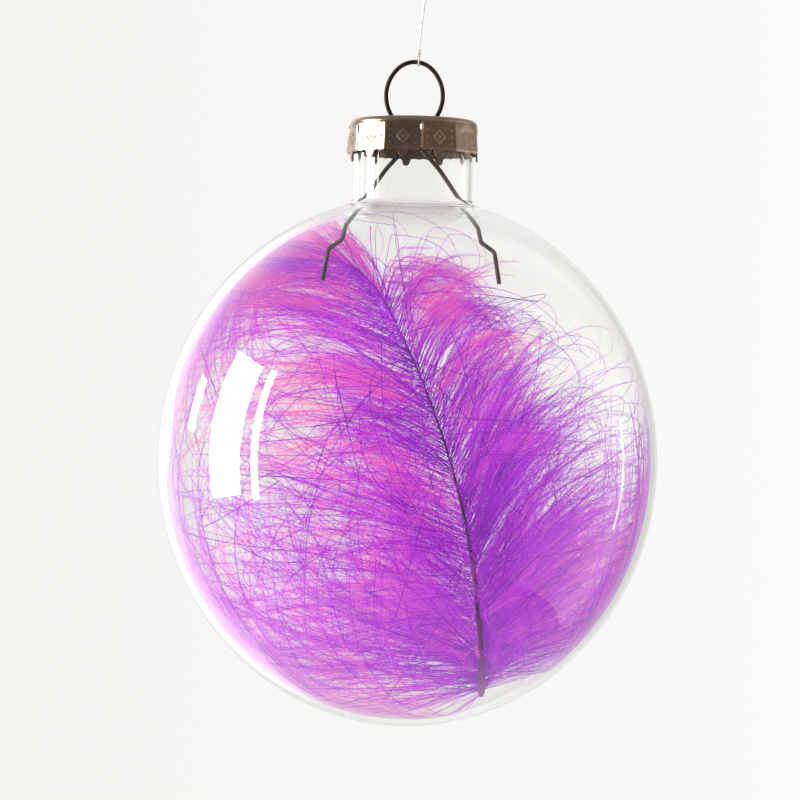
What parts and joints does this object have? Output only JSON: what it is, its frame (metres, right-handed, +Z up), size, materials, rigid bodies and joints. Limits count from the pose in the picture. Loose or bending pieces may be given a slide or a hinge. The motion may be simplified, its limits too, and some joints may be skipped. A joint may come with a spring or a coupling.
{
  "type": "glass ball ornament",
  "caption": "Clear hanging ball with a stamped metal cap, a sprung wire hanger, a feather inside and a nylon thread; the cap lifts off to fill the ball.",
  "frame": {"origin": "the bearing point inside the top of the thread's loop, where a hook or twig carries the ornament", "axes": "+Z up; X across the plane of the wire ring, with the thread leaning to +X above the ring; -Y is the front"},
  "size_m": [0.08, 0.08, 0.1459],
  "materials": {
    "glass": "clear polished",
    "cap_metal": "bright stamped",
    "wire": "blackened",
    "nylon": "clear nylon",
    "quill": "dyed horn",
    "barbs": "dyed down"
  },
  "bodies": {
    "thread": {"thread": "nylon", "top_knot": "nylon", "top_loop": "nylon"},
    "knot": {"lower_knot": "nylon"},
    "eye": {"ring_eye": "nylon"},
    "hanger": {"hanger_ring": "wire", "cap": "cap_metal"},
    "right_leg": {"right_spring_leg": "wire"},
    "left_leg": {"left_spring_leg": "wire"},
    "ball": {"glass_ball": "glass"},
    "feather": {"feather_quill": "quill", "feather_left_vane": "barbs", "feather_right_vane": "barbs"}
  },
  "joints": [
    {"name": "thread_twist", "type": "hinge", "parent": "thread", "child": "knot", "pos_m": [-0.00393, 0, -0.03684], "axis": [0, 0, 1], "continuous": true},
    {"name": "ring_swing", "type": "hinge", "parent": "knot", "child": "eye", "pos_m": [-0.00393, 0, -0.03919], "axis": [0.988, 0, -0.1547], "range_deg": [-75, 75]},
    {"name": "ring_tilt", "type": "hinge", "parent": "eye", "child": "hanger", "pos_m": [-0.00453, 0, -0.04304], "axis": [0, 1, 0], "range_deg": [-30, 30]},
    {"name": "right_leg_pinch", "type": "hinge", "parent": "hanger", "child": "right_leg", "pos_m": [-0.00721, 0, -0.04925], "axis": [0, 1, 0], "range_deg": [0, 18], "stiffness_Nm_per_rad": 0.02},
    {"name": "left_leg_pinch", "type": "hinge", "parent": "hanger", "child": "left_leg", "pos_m": [-0.00186, 0, -0.04925], "axis": [0, -1, 0], "range_deg": [0, 18]},
    {"name": "cap_lift", "type": "slide", "parent": "hanger", "child": "ball", "axis": [0, 0, -1], "range_m": [0, 0.03], "deforming": ["left_spring_leg", "right_spring_leg"]},
    {"name": "feather_turn", "type": "hinge", "parent": "ball", "child": "feather", "pos_m": [-0.00453, 0, -0.10316], "axis": [0, 0, 1], "continuous": true}
  ],
  "couplings": [
    {"joint": "left_leg_pinch", "follows": "right_leg_pinch", "ratio": 1}
  ]
}
